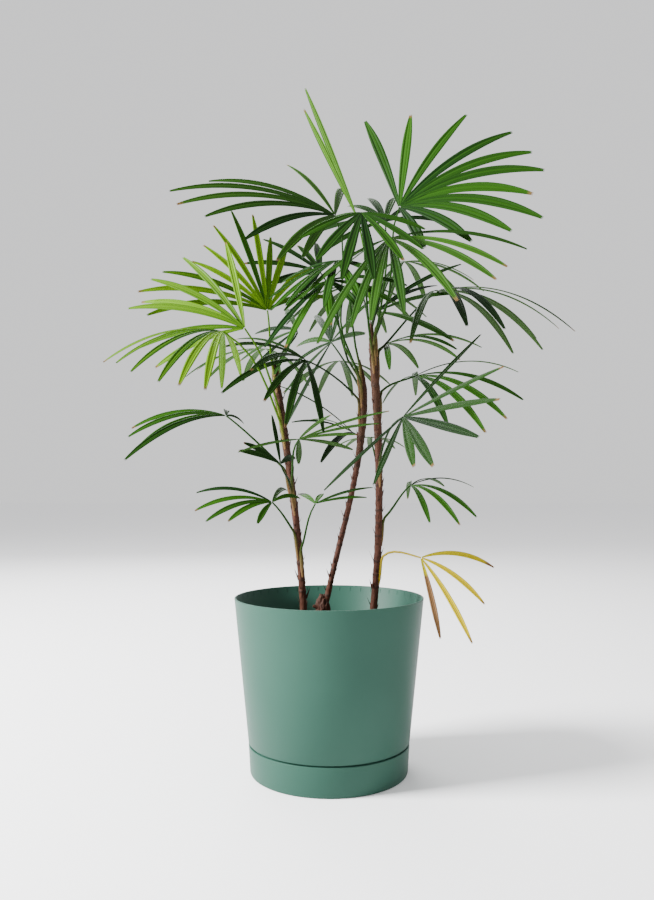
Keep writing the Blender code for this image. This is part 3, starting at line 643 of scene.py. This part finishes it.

# leaves_at is the height where the petiole leaves its cane, or None at the cane's very top. aim is the
# middle leaflet's compass heading (0 along +X, 90 to the back) and rise above the horizon, and the blade's
# roll about it, in degrees. droop bends leaflets to the ground, and each leaflet is its angle from the
# middle, positive to the right seen from above, in degrees, and its length in centimetres.
# tone picks a leaf colour from LEAF_TONES, where dark is painted shade.
Frond = namedtuple("Frond", "cane leaves_at hub aim droop width tone leaflets")
FRONDS = {
    "spear_leaf": Frond(
        "stem_right", None, (0.045, -0.005, 0.883), (176, 68, -80), 0.10, 0.010, "fresh",
        ((-1, 23), (3, 20))),
    "frond_top_right": Frond(
        "stem_right", 0.700, (0.112, -0.030, 0.890), (-5, 50, -65), 0.80, 0.018, "deep",
        ((-57, 21), (-37, 18), (-13, 19), (4, 21), (14, 22), (22, 23), (31, 21), (42, 23), (51, 19),
         (67, 14), (105, 9))),
    "frond_high_front": Frond(
        "stem_right", 0.685, (0.092, -0.070, 0.827), (-100, -35, -10), 0.70, 0.016, "soft",
        ((-96, 21), (-72, 20), (-58, 21), (-34, 22), (-11, 22), (3, 22), (11, 23), (22, 26), (50, 18),
         (119, 17))),
    "frond_top_left": Frond(
        "stem_middle", 0.640, (0.010, 0.050, 0.904), (175, 40, 40), 0.75, 0.016, "soft",
        ((-93, 14), (-81, 18), (-57, 19), (-37, 23), (-30, 27), (-23, 28), (-12, 22), (32, 18),
         (63, 17))),
    "frond_top_back": Frond(
        "stem_right", 0.705, (0.099, 0.100, 0.910), (105, 45, 15), 0.60, 0.016, "dark",
        ((-95, 12), (-60, 14), (-32, 12), (-14, 13), (2, 14), (20, 13), (45, 14), (80, 12))),
    "frond_high_left": Frond(
        "stem_middle", 0.630, (-0.015, 0.080, 0.815), (180, 25, 45), 0.45, 0.016, "dark",
        ((-80, 8), (-45, 11), (-12, 13), (25, 13), (47, 9), (68, 11))),
    "frond_left_upright": Frond(
        "stem_left", 0.640, (-0.096, -0.050, 0.720), (130, 65, 10), 0.70, 0.012, "light",
        ((-72, 19), (-60, 20), (-47, 17), (-34, 14), (-22, 15), (-11, 18), (0, 21), (9, 21), (17, 17),
         (26, 16), (40, 16), (58, 15))),
    "frond_left_front": Frond(
        "stem_left", 0.575, (-0.121, -0.150, 0.672), (155, 40, 60), 0.65, 0.012, "light",
        ((-52, 14), (-34, 16), (-17, 18), (-9, 18), (-2, 17), (15, 18), (33, 17))),
    "frond_left_hanging": Frond(
        "stem_left", 0.550, (-0.147, -0.190, 0.660), (190, 10, 15), 0.95, 0.012, "light",
        ((-82, 18), (-70, 18), (-60, 18), (-41, 17), (-21, 16), (-10, 17), (92, 16), (104, 14))),
    "frond_middle_back": Frond(
        "stem_middle", 0.610, (0.004, 0.130, 0.702), (110, 25, 55), 0.45, 0.014, "dark",
        ((-112, 18), (-70, 13), (-35, 15), (-8, 16), (13, 19), (24, 17), (38, 12), (85, 12), (132, 8))),
    "frond_middle_left": Frond(
        "stem_middle", 0.590, (-0.036, -0.020, 0.646), (-135, -5, 35), 0.85, 0.013, "dark",
        ((-61, 17), (-38, 18), (-17, 14), (-4, 16), (8, 17), (36, 14), (71, 13))),
    "frond_far_left": Frond(
        "stem_left", 0.475, (-0.163, -0.020, 0.558), (165, 30, 20), 0.90, 0.012, "deep",
        ((-60, 19), (-52, 15), (-41, 16), (-32, 15), (58, 6), (105, 4))),
    "frond_low_left_upright": Frond(
        "stem_left", 0.445, (-0.073, -0.090, 0.480), (135, 65, -10), 0.40, 0.011, "dark",
        ((-70, 8), (-58, 7), (13, 9), (60, 7))),
    "frond_low_front": Frond(
        "stem_left", 0.456, (-0.045, -0.100, 0.516), (-35, 25, 5), 0.25, 0.011, "deep",
        ((-131, 8), (-78, 11), (-50, 9), (-34, 12), (-18, 14), (20, 9), (113, 10))),
    "frond_low_back": Frond(
        "stem_middle", 0.520, (0.042, 0.100, 0.539), (-140, 15, 30), 0.70, 0.012, "dark",
        ((-67, 14), (-33, 16), (26, 11), (39, 16), (73, 10))),
    "frond_right_front": Frond(
        "stem_right", 0.490, (0.104, -0.160, 0.544), (-70, -10, -45), 0.10, 0.015, "dark",
        ((-99, 18), (-48, 16), (-22, 18), (-2, 20), (17, 18), (25, 15), (51, 14), (99, 15))),
    "frond_right_middle": Frond(
        "stem_right", 0.600, (0.140, 0.020, 0.626), (-10, 20, -20), 0.85, 0.013, "deep",
        ((-115, 13), (-86, 20), (-31, 21), (30, 20), (49, 22), (62, 23), (74, 18))),
    "frond_far_right": Frond(
        "stem_right", 0.665, (0.182, 0.030, 0.769), (-10, 10, -5), 1.15, 0.015, "dark",
        ((-53, 24), (-38, 25), (-31, 21), (1, 21), (15, 24), (59, 22), (74, 19), (102, 22))),
    "frond_right_upright": Frond(
        "stem_right", 0.675, (0.079, 0.050, 0.739), (5, 25, -40), 0.50, 0.014, "dark",
        ((-58, 18), (-32, 17), (-16, 18), (20, 14), (59, 17))),
    "frond_right_small": Frond(
        "stem_right", 0.655, (0.094, 0.060, 0.685), (-30, 20, -15), 0.90, 0.012, "deep",
        ((-85, 15), (-63, 19), (-40, 18), (-12, 15), (18, 16), (64, 14))),
    "frond_low_right": Frond(
        "stem_right", 0.396, (0.131, 0.000, 0.448), (-5, 20, -15), 0.95, 0.010, "deep",
        ((-86, 14), (-50, 10), (-17, 11), (44, 14), (59, 14), (78, 11))),
    "frond_low_left": Frond(
        "stem_left", 0.375, (-0.087, -0.060, 0.422), (165, 35, 25), 0.90, 0.010, "deep",
        ((-91, 5), (-55, 8), (-45, 11), (-31, 12), (-11, 12), (70, 10), (95, 6))),
    "frond_low_middle": Frond(
        "stem_left", 0.348, (-0.021, -0.070, 0.420), (55, 25, -5), 0.35, 0.011, "deep",
        ((-51, 8), (-20, 5), (20, 11), (40, 8))),
    "frond_yellow": Frond(
        "stem_right", 0.335, (0.143, -0.030, 0.335), (-15, -25, -50), 0.90, 0.010, "yellow",
        ((-51, 13), (-10, 12), (27, 15), (50, 13))),
    "frond_left_small": Frond(
        "stem_left", 0.650, (-0.053, 0.020, 0.703), (155, -15, 50), 0.40, 0.012, "dark",
        ((-71, 10), (-30, 12), (5, 12), (40, 12), (71, 11))),
    "frond_middle_front": Frond(
        "stem_middle", 0.620, (-0.003, -0.100, 0.754), (-60, -25, -30), 0.60, 0.014, "deep",
        ((-106, 14), (-60, 12), (-30, 12), (-4, 10), (25, 12), (53, 16), (68, 16), (94, 8))),
    "frond_centre_high": Frond(
        "stem_right", 0.672, (0.050, -0.075, 0.866), (-95, -45, 10), 0.35, 0.017, "deep",
        ((-80, 10), (-48, 13), (-26, 15), (-8, 17), (8, 18), (26, 15), (52, 12))),
    "frond_centre_left": Frond(
        "stem_middle", 0.648, (0.012, -0.070, 0.793), (-125, -35, 5), 0.50, 0.015, "deep",
        ((-72, 11), (-45, 13), (-20, 14), (3, 15), (24, 14), (48, 12), (80, 10))),
    "frond_back_high": Frond(
        "stem_right", 0.690, (0.055, 0.190, 0.820), (95, 5, 0), 0.80, 0.015, "dark",
        ((-75, 15), (-50, 18), (-25, 20), (0, 21), (25, 20), (50, 18), (75, 15))),
    "frond_back_left": Frond(
        "stem_left", 0.600, (-0.110, 0.130, 0.690), (115, 10, 0), 0.80, 0.014, "deep",
        ((-75, 13), (-45, 17), (-20, 18), (5, 18), (30, 17), (60, 14))),
    "frond_back_right": Frond(
        "stem_right", 0.685, (0.135, 0.140, 0.850), (60, 10, 0), 0.80, 0.014, "deep",
        ((-60, 14), (-35, 17), (-10, 18), (15, 18), (40, 17), (70, 13))),
    "frond_back_middle": Frond(
        "stem_middle", 0.600, (0.020, 0.170, 0.675), (95, 5, 0), 0.80, 0.013, "dark",
        ((-60, 13), (-35, 15), (-10, 17), (15, 17), (40, 15), (65, 12))),
    "frond_back_low": Frond(
        "stem_right", 0.470, (0.072, 0.100, 0.530), (88, 10, 0), 0.60, 0.011, "deep",
        ((-50, 8), (-25, 11), (0, 12), (25, 11), (50, 8))),
}


def petiole_line(frond):
    """An arc that leaves its cane's side, or its very top, and meets the hub along the middle leaflet."""
    cane = CANES[frond.cane]
    hub = Vector(frond.hub)
    if frond.leaves_at is None:
        start = Vector(cane.top) + UP * 2 * GAP
        leaving = UP
    else:
        axis = cane_line(cane, frond.leaves_at)
        outward = hub - axis
        outward.z = 0
        outward.normalize()
        clear = cane_radius(cane, frond.leaves_at) + PETIOLE_BASE_RADIUS + PETIOLE_CLEARANCE
        start = axis + outward * clear
        leaving = (UP + outward).normalized()
    reach = hub - start
    arriving = (blade_axes(frond.aim)[0] + reach.normalized()).normalized()
    first = start + leaving * PETIOLE_LEAVING * reach.length
    second = hub - arriving * PETIOLE_ARRIVING * reach.length
    points = []
    for i in range(PETIOLE_RINGS):
        t = i / (PETIOLE_RINGS - 1)
        points.append((1 - t) ** 3 * start + 3 * t * (1 - t) ** 2 * first
                      + 3 * t * t * (1 - t) * second + t ** 3 * hub)
    return points


def petiole_shape(frond):
    """The plain petiole, which leaflets keep clear of."""
    points = petiole_line(frond)
    last = PETIOLE_RINGS - 1
    radii = [PETIOLE_BASE_RADIUS + (PETIOLE_TIP_RADIUS - PETIOLE_BASE_RADIUS) * i / last
             for i in range(PETIOLE_RINGS)]
    return tube(points, radii, PETIOLE_SIDES)


def blade_axes(aim):
    """The blade's directions along its middle leaflet, to its right and out of its upper side."""
    heading, rise, roll = (math.radians(angle) for angle in aim)
    along = Vector((math.cos(heading) * math.cos(rise), math.sin(heading) * math.cos(rise), math.sin(rise)))
    level = Vector((math.sin(heading), -math.cos(heading), 0))
    over = level.cross(along)
    right = math.cos(roll) * level + math.sin(roll) * over
    return along, right, right.cross(along)


def hub_shape(frond):
    """A lens in the blade's plane that the leaflets' roots sink into."""
    along, right, over = blade_axes(frond.aim)
    hub = Vector(frond.hub)
    corners = [hub + over * HUB_HALF_THICKNESS, hub - over * HUB_HALF_THICKNESS]
    for turn in range(HUB_SIDES):
        angle = 2 * math.pi * (turn + 0.5) / HUB_SIDES
        corners.append(hub + HUB_RADIUS * (math.cos(angle) * along + math.sin(angle) * right))
    faces = []
    for turn in range(HUB_SIDES):
        here = 2 + turn
        beside = 2 + (turn + 1) % HUB_SIDES
        faces.append((0, here, beside))
        faces.append((1, beside, here))
    return corners, faces


def leaflet_line(frond, angle, length, sway, steps=LINE_STEPS):
    """The leaflet's (point, direction) at each step: the more level it starts, the more it bends down."""
    along, right, over = blade_axes(frond.aim)
    turn = math.radians(angle)
    lift = math.radians(sway)
    flat = math.cos(turn) * along + math.sin(turn) * right
    straight = math.cos(lift) * flat + math.sin(lift) * over
    sag = frond.droop * math.hypot(straight.x, straight.y)
    point = Vector(frond.hub) + straight * LEAFLET_START
    line = [(point, straight)]
    for step in range(steps):
        direction = (straight - UP * sag * (step + 0.5) / steps).normalized()
        point = point + direction * length / steps
        line.append((point, direction))
    return line


def leaflet_shape(frond, angle, length, sway, grow=0):
    """The leaflet's blade, with a lens-shaped section, grown all round by grow."""
    over = blade_axes(frond.aim)[2]
    line = leaflet_line(frond, angle, length, sway)
    half_thickness = max(LEAFLET_LEAST_THICKNESS, LEAFLET_THICKNESS_SHARE * length) / 2 + grow
    corners = []
    for step, share in BLADE_STATIONS:
        point, direction = line[step]
        side = direction.cross(over).normalized()
        top = side.cross(direction).normalized()
        half_width = share * frond.width / 2 + grow
        corners += [point + side * half_width, point + top * half_thickness,
                    point - side * half_width, point - top * half_thickness]
    last = len(corners) - 4
    faces = [(0, 1, 2, 3), (last + 3, last + 2, last + 1, last)]
    for start in range(0, last, 4):
        for i in range(4):
            beside = (i + 1) % 4
            faces.append((start + beside, start + i, start + 4 + i, start + 4 + beside))
    return corners, faces


def clear_leaflets(frond_name, taken):
    """The frond's leaflets, each swayed clear of what other fronds and canes have taken."""
    frond = FRONDS[frond_name]
    kept = []
    for angle, centimetres in frond.leaflets:
        length = centimetres / 100
        for sway in SWAYS:
            grown = BVHTree.FromPolygons(*leaflet_shape(frond, angle, length, sway, LEAFLET_CLEARANCE))
            if not any(owner != frond_name and tree.overlap(grown) for owner, tree in taken):
                shape = leaflet_shape(frond, angle, length, sway)
                kept.append((angle, length, sway))
                taken.append((frond_name, BVHTree.FromPolygons(*shape)))
                break
    return kept


# The fine mesh of a petiole: round, slimmer than the plain one, and evenly tapered. Its colour is that of
# a leaflet at this place across it, with this tint.
PETIOLE_ROUND = 8
FINE_PETIOLE_RADIUS = 0.0020
FINE_PETIOLE_TAPER = 0.0007
PETIOLE_ACROSS = 0.5
PETIOLE_TINT = 0.35
# A clasping base runs up along the cane from this far below the petiole's start. Its middle line lies a
# little inside the bark at its lowest ring, and further out at each next one.
CLASP_DROP = 0.045
CLASP_STEP = 0.009
CLASP_SINK = 0.0008
CLASP_RISE = 0.0003
CLASP_RADII = [0.0016, 0.0024, 0.0028, 0.0028, 0.0025]
# It is dry and brown at its foot, and ever less so over this many corners of the tube.
CLASP_CORNERS = 48
YELLOW_PETIOLE_DRYNESS = 0.45
# The fine mesh of a leaflet: steps along it, places across it from edge to edge, and its thickness. Its
# half width is a share of the frond's leaflet width, and its pleats and its fold are shares of that.
FINE_STEPS = 20
ACROSS = (-1.0, -0.66, -0.33, 0.0, 0.33, 0.66, 1.0)
BLADE_THICKNESS = 0.0005
HALF_WIDTH_SHARE = 0.46
PLEAT_SHARE = 0.16
FOLD_SHARE = 0.16
TOOTH_DEPTH = 0.004
# A leaflet's width as a share of its widest, at its root and its tip, and how steeply it changes to them.
WIDEST_AT = 0.62
ROOT_SHARE = 0.20
ROOT_CURVE = 0.8
TIP_SHARE = 0.26
TIP_CURVE = 1.8
# A leaflet's tint: its level, how it varies from leaflet to leaflet, and how it changes to tip and edge.
TINT_LEVEL = 0.42
TINT_MOTTLE = 0.9
TINT_TO_TIP = 0.30
TINT_TO_EDGE = 0.15
# Leaflets with more mottle than this dry from this share of their length, over the second share.
DRY_ABOVE_MOTTLE = 0.12
DRY_FROM = 0.955
DRYING = 0.03
NEVER_DRY = 2.0
# The yellow frond's leaflets dry from these shares of their length: the last is brown nearly all along.
YELLOW_DRY_FROM = (0.84, 0.93, 0.93, 0.22)
# Each tone's shaded and bright colour.
LEAF_TONES = {
    "deep": ((0.003, 0.016, 0.002), (0.017, 0.064, 0.003)),
    # dark is painted shade: the deep green at half its brightness, for fronds that lie in the crown's
    # shade.
    "dark": ((0.0015, 0.008, 0.0015), (0.009, 0.032, 0.003)),
    "soft": ((0.004, 0.019, 0.002), (0.023, 0.070, 0.006)),
    "light": ((0.010, 0.048, 0.002), (0.095, 0.205, 0.003)),
    "fresh": ((0.010, 0.046, 0.002), (0.055, 0.150, 0.004)),
    "yellow": ((0.280, 0.250, 0.003), (0.560, 0.400, 0.004)),
}
UNDERSIDE = (0.050, 0.105, 0.022)
DRY_BROWN = (0.140, 0.075, 0.032)
VEIN_FREQUENCY = 19.0
VEIN_DEPTH = 0.00005
VEIN_TINT = 0.06
# The midrib's half width across the leaflet, and how far it turns to the bright green: partly its own
# paleness, partly a painted highlight along the leaflet's fold.
MIDRIB_HALF_WIDTH = 0.10
MIDRIB_PALENESS_AND_HIGHLIGHT = 5.0
UNDERSIDE_COVER = 0.30


def leaf_surface(tone):
    """This tone's leaves: fine veins, a pale midrib with a painted highlight, a paler underside and dry
    tips.
    """
    dark, bright = LEAF_TONES[tone]

    def surface(place):
        across = value_of(place, "across")
        vein = place.maths("SINE", across * VEIN_FREQUENCY)
        body = mixed(value_of(place, "tint") + vein * VEIN_TINT, dark, bright)
        off_middle = place.maths("ABSOLUTE", across)
        # Painted highlight: the midrib turns towards the bright green, partly its own paleness, partly the
        # fold's lit ridge.
        midrib_and_highlight = place.maths("MAXIMUM", MIDRIB_HALF_WIDTH - off_middle, 0.0)
        lit = mixed(midrib_and_highlight * MIDRIB_PALENESS_AND_HIGHLIGHT, body, bright)
        pale = mixed(value_of(place, "under") * UNDERSIDE_COVER, lit, UNDERSIDE)
        return mixed(value_of(place, "dry"), pale, DRY_BROWN), vein, VEIN_DEPTH
    return surface


def blade_share(along):
    """The leaflet's half width along its length: narrow root, widest past its middle, blunt tip."""
    if along < WIDEST_AT:
        return ROOT_SHARE + (1 - ROOT_SHARE) * math.sin(math.pi / 2 * along / WIDEST_AT) ** ROOT_CURVE
    return 1 - (1 - TIP_SHARE) * ((along - WIDEST_AT) / (1 - WIDEST_AT)) ** TIP_CURVE


def fine_petiole(frond):
    """The petiole's corners and faces, with its clasping base except on a leaf at the cane's very top."""
    path = petiole_line(frond)
    radii = [FINE_PETIOLE_RADIUS - FINE_PETIOLE_TAPER * i / (len(path) - 1) for i in range(len(path))]
    if frond.leaves_at is None:
        return tube(path, radii, PETIOLE_ROUND)
    cane = CANES[frond.cane]
    outward = path[0] - cane_line(cane, frond.leaves_at)
    outward.z = 0
    outward.normalize()
    clasp = []
    for i in range(len(CLASP_RADII)):
        height = frond.leaves_at - CLASP_DROP + CLASP_STEP * i
        stands = cane_radius(cane, height) - CLASP_SINK + CLASP_RISE * i
        clasp.append(cane_line(cane, height) + outward * stands)
    return tube(clasp + path, CLASP_RADII + radii, PETIOLE_ROUND)


def petiole_dryness(name, frond, corner):
    """Dry at its clasping base and green above it; the yellow frond's is half dry all along."""
    if name == "frond_yellow":
        return YELLOW_PETIOLE_DRYNESS
    return max(0, 1 - corner / CLASP_CORNERS) if frond.leaves_at is not None else 0.0


def fine_leaflet(frond, leaflet, mottle, dry_from):
    """A pleated leaflet: corners, faces, and each corner's place across, tint, underside and dryness."""
    over = blade_axes(frond.aim)[2]
    corners, values = [], []
    for step, (point, direction) in enumerate(leaflet_line(frond, *leaflet, FINE_STEPS)):
        along = step / FINE_STEPS
        side = direction.cross(over).normalized()
        up = side.cross(direction).normalized()
        half = blade_share(along) * frond.width * HALF_WIDTH_SHARE
        dryness = min(1, max(0, (along - dry_from) / DRYING))
        for layer in (1, -1):
            for i, across in enumerate(ACROSS):
                pleat = (0.5 if i % 2 else -0.5) * PLEAT_SHARE * half
                fold = FOLD_SHARE * half * abs(across)
                tooth = TOOTH_DEPTH * (i % 2) * (step == FINE_STEPS)
                rise = fold + pleat + layer * BLADE_THICKNESS / 2
                corners.append(point + side * across * half + up * rise - direction * tooth)
                tint = TINT_LEVEL + TINT_MOTTLE * mottle + TINT_TO_TIP * along - TINT_TO_EDGE * abs(across)
                values.append((across, tint, float(layer < 0), dryness))
    faces = []
    wide = len(ACROSS)
    loop = list(range(wide)) + list(range(2 * wide - 1, wide - 1, -1))
    for low in range(0, FINE_STEPS * 2 * wide, 2 * wide):
        high = low + 2 * wide
        for here, beside in zip(loop, loop[1:] + loop[:1]):
            faces.append((low + here, low + beside, high + beside, high + here))
    for end in (0, FINE_STEPS * 2 * wide):
        for i in range(end, end + wide - 1):
            faces.append((i, i + 1, i + 1 + wide, i + wide))
    return corners, faces, values


leaf = {tone: paint("leaf_" + tone + "_shown", roughness=0.50, gloss=0.12, surface=leaf_surface(tone))
        for tone in LEAF_TONES}
taken = []
for name, cane in CANES.items():
    taken.append((name, BVHTree.FromPolygons(*cane_shape(cane))))
    if name == "stem_middle":
        taken.append((name, BVHTree.FromPolygons(*knot_shape())))
for name, frond in FRONDS.items():
    taken += [(name, BVHTree.FromPolygons(*shape)) for shape in (petiole_shape(frond), hub_shape(frond))]
for number, (name, frond) in enumerate(FRONDS.items()):
    corners, faces = fine_petiole(frond)
    values = [(PETIOLE_ACROSS, PETIOLE_TINT, 0.0, petiole_dryness(name, frond, corner))
              for corner in range(len(corners))]
    for place_in_fan, leaflet in enumerate(clear_leaflets(name, taken)):
        mottle = noise.noise(Vector((number * 3.7, place_in_fan * 1.9, 0.5)))
        dry_from = DRY_FROM if mottle > DRY_ABOVE_MOTTLE else NEVER_DRY
        if name == "frond_yellow":
            dry_from = YELLOW_DRY_FROM[place_in_fan]
        blade_corners, blade_faces, blade_values = fine_leaflet(frond, leaflet, mottle, dry_from)
        faces += numbered_from(len(corners), blade_faces)
        corners += blade_corners
        values += blade_values
    piece = piece_of(name + "_shown", corners, [], faces)
    for key, numbers in zip(("across", "tint", "under", "dry"), zip(*values)):
        piece.data.attributes.new(key, "FLOAT", "POINT").data.foreach_set("value", numbers)
    seated(piece, leaf[frond.tone], name)

# Stage: a pale seamless floor, a soft light from the upper left, a weak one from behind and a pale
# surround. The camera stands level with the canes, 1.3 m in front of the pot's axis, and looks up a little.
FLOOR_SIZE = 40
FLOOR_WHITE = (0.97, 0.97, 0.98, 1)
FLOOR_ROUGHNESS = 0.9
SURROUND_WHITE = (0.95, 0.95, 0.96, 1)
SURROUND_STRENGTH = 1.05
# Each light: its name, place, power in watts and width.
LIGHTS = (("key", (-3.1, -0.8, 2.1), 700, 1.2), ("back", (-0.8, 2.6, 2.4), 90, 2.0))
LIGHTS_AIM = Vector((0, 0, 0.5))
CAMERA_PLACE = (-0.0033, -1.3, 0.4467)
CAMERA_PITCH = 0.0445
CAMERA_LENS = 32.4
bpy.ops.mesh.primitive_plane_add(size=FLOOR_SIZE, location=(0, 0, 0))
floor = bpy.context.object
floor.name = "floor"
ground = bpy.data.materials.new("floor_paint")
ground.use_nodes = True
ground.node_tree.nodes["Principled BSDF"].inputs["Base Color"].default_value = FLOOR_WHITE
ground.node_tree.nodes["Principled BSDF"].inputs["Roughness"].default_value = FLOOR_ROUGHNESS
floor.data.materials.append(ground)
for title, spot, power, size in LIGHTS:
    light = bpy.data.lights.new(title, "AREA")
    light.energy = power
    light.size = size
    lamp = bpy.data.objects.new(title, light)
    lamp.location = spot
    lamp.rotation_euler = (LIGHTS_AIM - Vector(spot)).to_track_quat("-Z", "Y").to_euler()
    bpy.context.collection.objects.link(lamp)
world = bpy.data.worlds.new("surround")
world.use_nodes = True
world.node_tree.nodes["Background"].inputs["Color"].default_value = SURROUND_WHITE
world.node_tree.nodes["Background"].inputs["Strength"].default_value = SURROUND_STRENGTH
bpy.context.scene.world = world
lens = bpy.data.cameras.new("camera")
lens.lens = CAMERA_LENS
camera = bpy.data.objects.new("camera", lens)
camera.location = CAMERA_PLACE
camera.rotation_euler = (math.pi / 2 + CAMERA_PITCH, 0, 0)
bpy.context.collection.objects.link(camera)
bpy.context.scene.camera = camera
